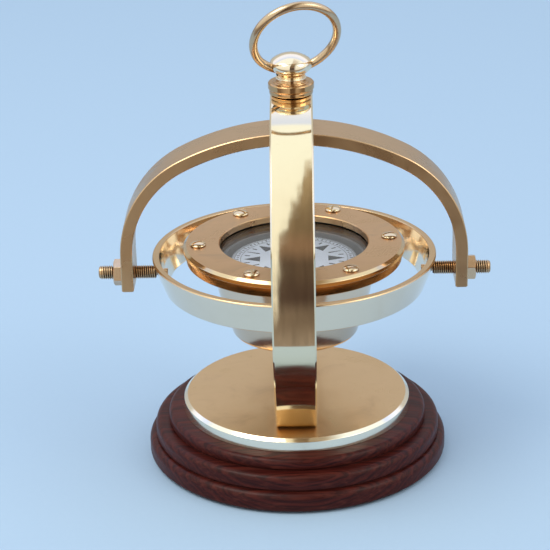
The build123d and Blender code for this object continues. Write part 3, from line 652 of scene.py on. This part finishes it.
ball_h, ball_r, ball_edge, ball_z = 6.8, 12.1, 4.2, 239.0
inset = ball_r - ball_edge
crown = (inset**2 + ball_h**2 - ball_edge**2) / (2 * (ball_h - ball_edge))
angle = math.degrees(math.asin(inset / (crown - ball_edge)))
ball_side = walk((0, ball_z + ball_h), 0.0, [("arc", crown, angle), ("arc", ball_edge, 180 - 2 * angle),
                                             ("arc", crown, angle)], step=0.5)
ball_side = [p for p in ball_side if p[1] > ball_z or p[0] > 7.6 + 0.9]
waist = soften([(8.0, 232.75), (7.6, 232.3), (7.6, 232.0, 0.1), (8.7, 232.0, 0.45), (8.7, 231.0, 0.45),
                (7.6, 231.0, 0.1),
                (7.6, 230.2), (0, 230.2)])
ball = turned("finial_ball_turned", ball_side + waist, FINIAL_BRASS, "stand",
              ["finial_ball"])
YAW, LEAN = math.radians(15.8), math.radians(27.8)
hinge = Vector((math.cos(YAW), math.sin(YAW), 0))
along_hinge = Matrix.Rotation(YAW, 4, "Z") @ Matrix.Rotation(math.pi / 2, 4, "Y")
drill = turned("drill", soften([(0, -20), (4.0, -20), (4.0, 20), (0, 20)]), FINIAL_BRASS, None,
               matrix=at(z=237.0) @ along_hinge, turns=96)
carve(ball, drill)

up = Vector((math.sin(LEAN) * math.sin(YAW), -math.sin(LEAN) * math.cos(YAW), math.cos(LEAN)))
RING_R, WIRE_R = 23.9, 2.4
ring_centre = Vector((0, 0, 237.0)) + up * (RING_R - 1.5)
ring_face = hinge.cross(up)
verts, faces = [], []
AROUND, SECTION = 288, 40
for i in range(AROUND):
    a = 2 * math.pi * i / AROUND
    radial = hinge * math.cos(a) + up * math.sin(a)
    sway = 0.10 * math.sin(2 * a + 0.7) + 0.06 * math.sin(3 * a + 2.1) if math.sin(a) > -0.7 else 0.0
    for j in range(SECTION):
        b = 2 * math.pi * j / SECTION
        spot = ring_centre + radial * (RING_R + sway + WIRE_R * math.cos(b)) + ring_face * (WIRE_R * math.sin(b))
        verts.append(tuple(spot))
for i in range(AROUND):
    for j in range(SECTION):
        n, m = (i + 1) % AROUND, (j + 1) % SECTION
        faces.append((i * SECTION + j, i * SECTION + m, n * SECTION + m, n * SECTION + j))
piece("carrying_ring_wire", verts, faces, WIRE_BRASS, "carry_ring", ["wire_ring"])

# ---- gimbal ring and pivots ---------------------------------------------

PIVOT_Z = 114.2
band = turned("gimbal_band", soften([(73.2, 107.0, 0.8), (76.2, 107.0, 0.8), (83.4, 126.0, 1.0),
                                     (79.0, 126.0, 0.8)], True),
              [BAND_BRASS, LIP_BRASS], "gimbal", ["gimbal_ring"], closed=True, turns=360)
repaint(band, 1, lambda r, z: z > 125.4)

for side, label in ((-1, "left"), (1, "right")):
    toward = at(z=PIVOT_Z) @ Matrix.Rotation(side * math.pi / 2, 4, "Y")
    stud = threaded(label + "_stud_thread", 81.1, 114.9, 4.0, PITCH, 1.9, [STUD_BRASS, STUD_GROOVE_DARK], "stand",
                    [label + "_pivot_stud"], matrix=toward)
    # faces in the thread's grooves, short of the outer tip, take the near-black brass
    for polygon in stud.data.polygons:
        x, y, z = polygon.center / MM
        if math.hypot(y, z - PIVOT_Z) < 3.62 and abs(x) < 112.5:
            polygon.material_index = 1
    turned(label + "_stud_pin", soften([(0, 74.2), (2.0, 74.2, 0.6), (2.0, 81.3), (0, 81.3)]), STUD_BRASS,
           "stand",
           matrix=toward, turns=64)
NUT_TURN = Matrix.Rotation(math.radians(12), 4, "Z")
hex_nut("leg_nuts", 5.5, 4.05, 13.8, FITTING_BRASS, "stand", ["pivot_nuts"],
        [at(z=PIVOT_Z) @ Matrix.Rotation(side * math.pi / 2, 4, "Y") @ NUT_TURN @ at(z=100.6)
         for side in (-1, 1)])

for side, label in ((-1, "front"), (1, "rear")):
    toward = at(z=PIVOT_Z) @ Matrix.Rotation(-side * math.pi / 2, 4, "X")
    plug = turned(label + "_pivot_plug", soften([
        (0, 58.0), (2.0, 58.0, 0.4), (2.0, 75.2), (3.0, 75.4), (3.0, 78.3, 0.3), (0, 78.4)]), BAND_BRASS,
        "gimbal",
        [label + "_bowl_pivot"], matrix=toward, turns=64)
    carve(plug, plain("slot", (-4, -0.45, 77.5), (4, 0.45, 80), matrix=toward))

# ---- compass bowl -------------------------------------------------------

bowl = turned("bowl_shell", soften([
    (31.3, 76.5), (36.8, 76.5, 3.2), (45.5, 105.0, 30.0), (45.5, 122.4, 0.5), (63.0, 122.4, 0.6),
    (63.0, 128.2, 0.3),
    (49.9, 128.2), (49.9, 124.8), (42.2, 124.8, 0.4), (42.2, 99.0), (0.01, 99.0), (0.01, 96.0), (31.1, 96.0),
    (31.1, 76.7)], True, step=3.0),
    [BOWL_BRASS, RIM_PAINTED_SHADE, FLANGE_BRASS], "bowl", ["compass_bowl", "bowl_flange"], closed=True,
    turns=320)
repaint(bowl, 2, lambda r, z: r > 62.0 and z > 122.0)
# the bore above the liner, the cavity floor and the glass seat's recess get the near-black painted shade
repaint(bowl, 1, lambda r, z: (r < 42.6 and z > 98.9) or (r < 49.95 and z > 124.7))
for side, label in ((-1, "front"), (1, "rear")):
    toward = at(z=PIVOT_Z) @ Matrix.Rotation(-side * math.pi / 2, 4, "X")
    turned(label + "_boss", soften([(2.05, 57.5), (0.01, 57.5), (0.01, 44.5), (6.2, 44.5), (5.2, 46.8, 1.2),
                                    (5.0, 61.6, 0.5), (4.5, 62.0, 0.2), (2.05, 62.0)], True), BOWL_BRASS,
                                    "bowl",
           ["pivot_bosses"] if side < 0 else (), closed=True, matrix=toward, turns=72)
turned("bowl_cap_disc", soften([(0, 76.5), (30.2, 76.5, 0.3), (31.0, 77.3, 0.3), (31.0, 79.5), (0, 79.5)]),
       BOWL_BRASS,
       "bowl", ["bowl_bottom_cap"])
turned("ballast_disc", soften([(0, 79.5), (30.8, 79.5, 0.5), (30.8, 86.5, 0.5), (0, 86.5)]), FITTING_BRASS,
       "bowl",
       ["ballast_weight"], turns=96)
turned("liner_tube", soften([(40.7, 99.0), (42.1, 99.0), (42.1, 121.4, 0.3), (40.7, 121.4, 0.5)], True),
       LINER, "bowl",
       ["dial_liner"], closed=True)
for node, low in (("lower_gasket", 124.8), ("upper_gasket", 127.7)):
    turned(node + "_seal", soften([(43.9, low, 0.15), (49.8, low), (49.8, low + 0.5),
                                   (43.9, low + 0.5, 0.15)], True),
           RUBBER, "bowl", [node], closed=True)
turned("cover_glass_disc", soften([(0, 125.3), (49.8, 125.3, 0.3), (49.8, 127.7, 0.3), (0, 127.7)]), GLASS,
       "bowl",
       ["cover_glass"])
bezel = turned("bezel_disc", soften([
    (43.4, 128.2, 0.2), (64.6, 128.2, 0.25), (64.6, 130.7, 0.4), (62.8, BEZEL_TOP, 0.35),
    (43.9, BEZEL_TOP, 0.15),
    (43.4, 131.7, 0.15)], True), [BEZEL_BRASS, BEZEL_EDGE_HIGHLIGHT], "bowl", ["bezel_ring"],
    closed=True, turns=320)
# the bevel and side take the lighter, polished copy; the lighter colour paints in the bevel's highlight
repaint(bezel, 1, lambda r, z: r > 62.9)

slot_turns = (20, 75, 140, 35, 100, 165)
for index, slot_turn in enumerate(slot_turns):
    around = math.radians(5 + 60 * index)
    place = at(56.0 * math.cos(around), 56.0 * math.sin(around),
               BEZEL_TOP) @ Matrix.Rotation(math.radians(slot_turn), 4, "Z")
    head = [(4.65 * math.cos(t), 0.45 + 1.85 * math.sin(t)) for t in np.linspace(0, math.pi / 2, 12)[:-1]]
    screw = turned(f"bezel_screw_{index + 1}",
                   [(0, -8.4), (1.9, -8.4), (1.9, 0.0), (4.5, 0.0)] + head + [(0, 2.3)],
                   SCREW_BRASS, "bowl", ["bezel_screws"] if index == 0 else (),
                   matrix=place, turns=72)
    carve(screw, plain("slot", (-6, -0.55, 1.3), (6, 0.55, 4), matrix=place))

# ---- card ---------------------------------------------------------------

turned("pivot_post_turned", soften([(0, 96.0), (2.0, 96.0), (2.0, 99.0), (3.2, 99.0), (3.2, 111.5, 0.6),
                                    (1.6, 113.0, 0.3),
                                    (0, 113.0)]), FITTING_BRASS, "bowl", ["pivot_post"],
                                    turns=64)
turned("pivot_needle", soften([(0, 107.0), (0.9, 107.0), (0.9, 117.6, 0.3), (0.15, 120.9, 0.05),
                               (0, 120.9)]), STEEL, "bowl",
       ["pivot_pin"], turns=48)
turned("card_disc", soften([(3.1, 119.2), (36.8, 119.2, 0.15), (36.8, 119.8, 0.15), (3.1, 119.8)], True),
       CARD, "card",
       ["compass_card"], closed=True)
turned("card_cap_turned", soften([
    (1.6, 117.0), (3.0, 117.0, 0.2), (3.0, 119.8), (4.6, 119.8, 0.2), (4.6, 120.6, 0.3), (3.1, 120.6, 0.2),
    (2.9, 122.2, 0.9),
    (0, 122.6), (0, 121.0), (1.6, 121.0)], False) + [(1.6, 117.0)], FITTING_BRASS, "card",
    ["card_cap"],
    turns=96)
for side in (-10.0, 10.0):
    bevelled = soften([(-2, -22, 0.4), (2, -22, 0.4), (2, 22, 0.4), (-2, 22, 0.4)], True)
    n = len(bevelled)
    verts = [(x + side, y, z) for z in (116.2, 119.2) for x, y in bevelled]
    faces = [tuple(range(n)), tuple(range(n, 2 * n))]
    faces += [(k, (k + 1) % n, n + (k + 1) % n, n + k) for k in range(n)]
    piece("card_magnet_" + ("left" if side < 0 else "right"), verts, faces, MAGNET, "card")
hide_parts("card_magnets")

INK_LOW, INK_HIGH = 119.79, 119.84
ink_verts, ink_faces = [], []


def ink(points, angle):
    """Prints one polygon, drawn pointing along +X, turned to an angle on the card."""
    c, s = math.cos(math.radians(angle)), math.sin(math.radians(angle))
    base, n = len(ink_verts), len(points)
    for z in (INK_LOW, INK_HIGH):
        ink_verts.extend((x * c - y * s, x * s + y * c, z) for x, y in points)
    ink_faces.append(tuple(base + k for k in range(n)))
    ink_faces.append(tuple(base + n + k for k in range(n)))
    ink_faces.extend((base + k, base + (k + 1) % n, base + n + (k + 1) % n, base + n + k) for k in range(n))


def ink_ring(inner, outer, parts=180):
    base = len(ink_verts)
    for r, z in ((inner, INK_LOW), (outer, INK_LOW), (outer, INK_HIGH), (inner, INK_HIGH)):
        ink_verts.extend((r * math.cos(2 * math.pi * k / parts), r * math.sin(2 * math.pi * k / parts), z)
                         for k in range(parts))
    for row in range(4):
        for k in range(parts):
            n, other = (k + 1) % parts, (row + 1) % 4
            ink_faces.append((base + row * parts + k, base + row * parts + n, base + other * parts + n,
                              base + other * parts + k))


for point in range(8):
    ink([(20.0, -3.9), (29.6, 0), (20.0, 3.9)], point * 45)
for point in range(8):
    ink([(22.0, -0.7), (29.8, -0.25), (29.8, 0.25), (22.0, 0.7)], point * 45 + 22.5)
for point in range(16):
    ink([(26.5, -0.5), (29.6, -0.5), (29.6, 0.5), (26.5, 0.5)], point * 22.5 + 11.25)
for tick in range(72):
    long_tick = tick % 2 == 0
    ink([(32.6, -0.42), (34.4 if long_tick else 33.8, -0.42), (34.4 if long_tick else 33.8, 0.42),
         (32.6, 0.42)], tick * 5)
for tick in range(180):
    ink([(35.3, -0.16), (36.3, -0.16), (36.3, 0.16), (35.3, 0.16)], tick * 2)
ink_ring(31.3, 31.55)
ink_ring(34.9, 35.15)
ink_ring(36.3, 36.5)
piece("card_print", ink_verts, ink_faces, INK, "card")

# ---- stage --------------------------------------------------------------

FLOOR_COLOUR = (0.385, 0.515, 0.672, 1)
floor_graph = Graph("stage_paper")
fibres = floor_graph.noise(floor_graph.position, 300.0, 3.0)
floor_graph.surface(
    Base_Color=floor_graph.blend(fibres, FLOOR_COLOUR, (0.40, 0.53, 0.684, 1)), Roughness=0.9,
    Specular_IOR_Level=0.1)
# nearer than this the floor is hidden from reflections, which sets where the strap's blue band ends
FRONT_EDGE = -222.0
for name, y0, y1 in (("stage_floor", FRONT_EDGE, 6000.0), ("stage_floor_front", -6000.0, FRONT_EDGE)):
    floor = piece(name, [(-6000, y0, 0), (6000, y0, 0), (6000, y1, 0), (-6000, y1, 0)], [(0, 1, 2, 3)],
                  floor_graph.material, None)
    floor.modifiers.clear()
    floor.visible_glossy = name == "stage_floor"

# The surround is not plain: its bands of colour by angle, its ragged edge and its streaks stand for a room,
# and were set so that the polished strap's reflections look like the reference's. The strap's dark bands come
# from it, and the exported model does not carry them.
world = bpy.data.worlds.new("studio")
bpy.context.scene.world = world
world.use_nodes = True
tree = world.node_tree
background = tree.nodes["Background"]
direction = tree.nodes.new("ShaderNodeTexCoord").outputs["Generated"]
parts = tree.nodes.new("ShaderNodeSeparateXYZ")
tree.links.new(direction, parts.inputs[0])


def sky_ramp(source, stops):
    node = tree.nodes.new("ShaderNodeValToRGB")
    tree.links.new(source, node.inputs[0])
    node.color_ramp.interpolation = "EASE"
    while len(node.color_ramp.elements) < len(stops):
        node.color_ramp.elements.new(0.5)
    for element, (position, colour) in zip(node.color_ramp.elements, stops):
        element.position = position
        element.color = (*colour, 1)
    return node.outputs[0]


def sky_math(operation, a, b):
    node = tree.nodes.new("ShaderNodeMath")
    node.operation = operation
    for socket, value in zip(node.inputs, (a, b)):
        if isinstance(value, bpy.types.NodeSocket):
            tree.links.new(value, socket)
        else:
            socket.default_value = value
    return node.outputs[0]


def sky_blend(factor, first, second):
    node = tree.nodes.new("ShaderNodeMix")
    node.data_type = "RGBA"
    for socket, value in zip((node.inputs[0], node.inputs[6], node.inputs[7]), (factor, first, second)):
        tree.links.new(value, socket)
    return node.outputs[2]


# angle over the object from the front horizon (0.5) through the zenith (0.75) to the back horizon (1.0)
toward_front = sky_math("MULTIPLY", parts.outputs["Y"], -1.0)
over = sky_math("MULTIPLY_ADD", sky_math("ARCTAN2", parts.outputs["Z"], toward_front), 0.5 / math.pi)
over.node.inputs[2].default_value = 0.5


def stop(degrees, *colour):
    return (0.5 + degrees / 360, colour)


arc = sky_ramp(over, [
    stop(-90, 0.34, 0.30, 0.27), stop(-46, 0.30, 0.26, 0.23), stop(-20, 0.20, 0.16, 0.13),
    stop(-6, 0.08, 0.055, 0.045),
    stop(14, 0.11, 0.08, 0.06), stop(28, 0.26, 0.175, 0.12), stop(40, 0.21, 0.16, 0.105),
    stop(75, 0.40, 0.32, 0.21),
    stop(98, 0.75, 0.72, 0.66), stop(117, 1.05, 1.12, 1.15), stop(119, 0.80, 0.98, 1.45),
    stop(136, 1.05, 1.18, 1.55),
    stop(147, 1.05, 1.12, 1.30), stop(152, 0.62, 0.62, 0.58), stop(180, 0.50, 0.55, 0.60)])
window = sky_ramp(over, [
    stop(-90, 0.34, 0.30, 0.27), stop(-30, 0.30, 0.26, 0.22), stop(-12, 0.95, 0.95, 0.88),
    stop(30, 1.05, 1.10, 1.05),
    stop(100, 1.08, 1.20, 1.22), stop(117, 1.08, 1.20, 1.28), stop(119, 0.80, 0.98, 1.45),
    stop(136, 1.05, 1.18, 1.55),
    stop(147, 1.05, 1.12, 1.30), stop(152, 0.62, 0.62, 0.58), stop(180, 0.50, 0.55, 0.60)])
edge = sky_ramp(over, [
    stop(-20, 0.0, 0.0, 0.0), stop(0, 0.03, 0.03, 0.03), stop(19, 0.08, 0.08, 0.08),
    stop(33, 0.16, 0.16, 0.16),
    stop(47, 0.42, 0.42, 0.42), stop(65, 0.58, 0.58, 0.58), stop(83, 0.78, 0.78, 0.78),
    stop(98, 1.0, 1.0, 1.0)])
streaks = tree.nodes.new("ShaderNodeTexNoise")
streaks.inputs["Scale"].default_value = 1.0
streaks.inputs["Detail"].default_value = 3.0
spread = tree.nodes.new("ShaderNodeMapping")
spread.inputs["Scale"].default_value = (75.0, 2.2, 2.2)
tree.links.new(direction, spread.inputs["Vector"])
tree.links.new(spread.outputs[0], streaks.inputs["Vector"])
across = sky_math("MULTIPLY_ADD", parts.outputs["X"], 5.0)
across.node.inputs[2].default_value = 0.5
ragged = sky_math("ADD", across, sky_math("MULTIPLY", sky_math("SUBTRACT", streaks.outputs["Fac"], 0.5),
                                          0.55))
past = sky_math("MULTIPLY", sky_math("SUBTRACT", ragged, edge), 14.0)
past.node.use_clamp = True
right_end = sky_math("MULTIPLY", sky_math("SUBTRACT", 0.46, parts.outputs["X"]), 6.0)
right_end.node.use_clamp = True
shade = sky_math("MULTIPLY_ADD", streaks.outputs["Fac"], 1.5)
shade.node.inputs[2].default_value = 0.25
dappled = tree.nodes.new("ShaderNodeVectorMath")
dappled.operation = "SCALE"
tree.links.new(arc, dappled.inputs[0])
tree.links.new(shade, dappled.inputs["Scale"])
high = sky_math("MULTIPLY", sky_math("SUBTRACT", over, 0.5 + 100 / 360), 24.0)
high.node.use_clamp = True
front_arc = sky_blend(high, dappled.outputs[0], arc)
tree.links.new(sky_blend(sky_math("MULTIPLY", past, right_end), window, front_arc),
               background.inputs["Color"])
background.inputs["Strength"].default_value = 1.0


def panel(name, location, aim, size, power, colour):
    """A large soft light."""
    data = bpy.data.lights.new(name, "AREA")
    data.shape = "RECTANGLE"
    data.size, data.size_y = size
    data.energy = power
    data.color = colour
    obj = bpy.data.objects.new(name, data)
    obj.location = location
    obj.rotation_euler = (Vector(aim) - Vector(location)).to_track_quat("-Z", "Y").to_euler()
    bpy.context.scene.collection.objects.link(obj)
    return obj


panel("key", (-0.9, -0.5, 1.7), (0, 0, 0.1), (1.1, 0.9), 14.0, (1.0, 0.96, 0.88))
panel("fill", (1.3, -0.6, 1.2), (0, 0, 0.1), (0.8, 0.8), 5.0, (1.0, 0.95, 0.9))

# ---- camera -------------------------------------------------------------

TARGET = Vector((-0.01143, 0, 0.11094))
DISTANCE, ELEVATION, ROLL, YAW_VIEW = 1.1754, math.radians(22.18), math.radians(1.26), math.radians(1.0)
eye = TARGET + DISTANCE * Vector((0, -math.cos(ELEVATION), math.sin(ELEVATION)))
look = (TARGET - eye).to_track_quat("-Z", "Y").to_matrix().to_4x4()
camera_data = bpy.data.cameras.new("camera")
camera_data.lens = 36.0 * 2000 / 550
camera_data.clip_end = 50
camera = bpy.data.objects.new("camera", camera_data)
camera.matrix_world = (Matrix.Rotation(YAW_VIEW, 4, "Z") @ Matrix.Translation(eye) @ look
                       @ Matrix.Rotation(-ROLL, 4, "Z"))
bpy.context.scene.collection.objects.link(camera)
bpy.context.scene.camera = camera
bpy.context.scene.view_settings.view_transform = "Standard"
bpy.context.scene.view_settings.look = "None"
